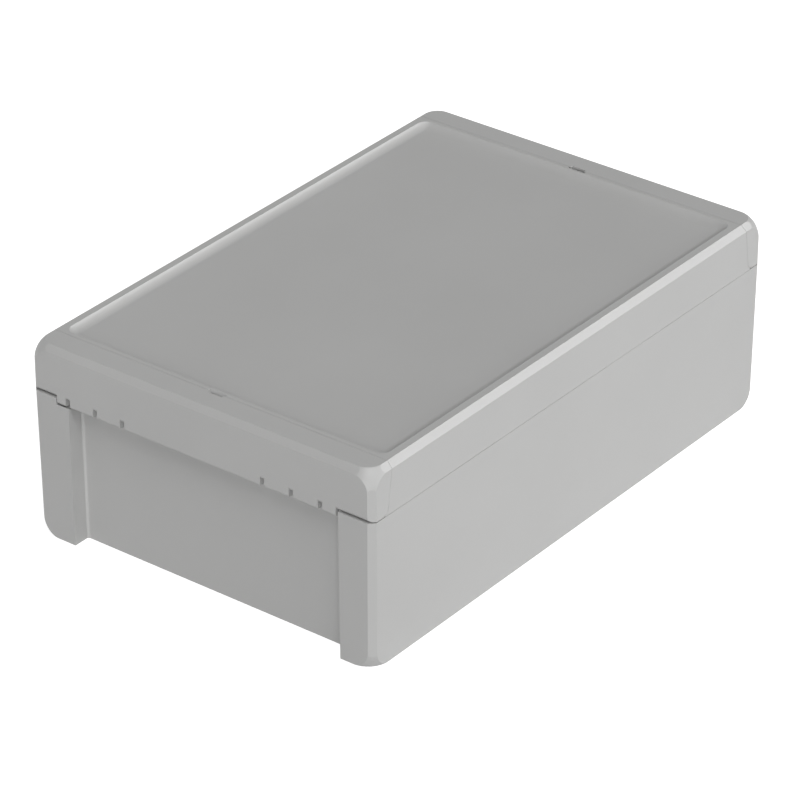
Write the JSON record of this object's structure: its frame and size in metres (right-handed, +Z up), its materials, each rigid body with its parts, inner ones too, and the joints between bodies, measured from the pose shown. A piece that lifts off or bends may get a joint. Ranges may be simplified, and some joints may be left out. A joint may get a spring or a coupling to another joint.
{
  "type": "project box",
  "caption": "Rectangular moulded plastic project box with a recessed lid panel, recessed ends between corner legs, and hinged snap-fit end strips.",
  "frame": {"origin": "centre of the foot plane of the closed box", "axes": "+X along the box, through both end strips; +Y across it; +Z up through the lid"},
  "size_m": [0.271, 0.176, 0.091],
  "materials": {
    "shell": "light grey, fine matt texture",
    "seal": "soft black seal"
  },
  "bodies": {
    "base": {"base": "shell"},
    "front_strip": {"front_strip": "shell"},
    "lid": {"lid": "shell", "seal": "seal", "rear_strip": "shell"}
  },
  "joints": [
    {"name": "front_hinge", "type": "hinge", "parent": "base", "child": "front_strip", "pos_m": [-0.1336, 0, 0.0708], "axis": [0, -1, 0], "range_deg": [0, 100]},
    {"name": "rear_hinge", "type": "hinge", "parent": "base", "child": "lid", "pos_m": [0.1336, 0, 0.0708], "axis": [0, 1, 0], "range_deg": [0, 100]}
  ]
}
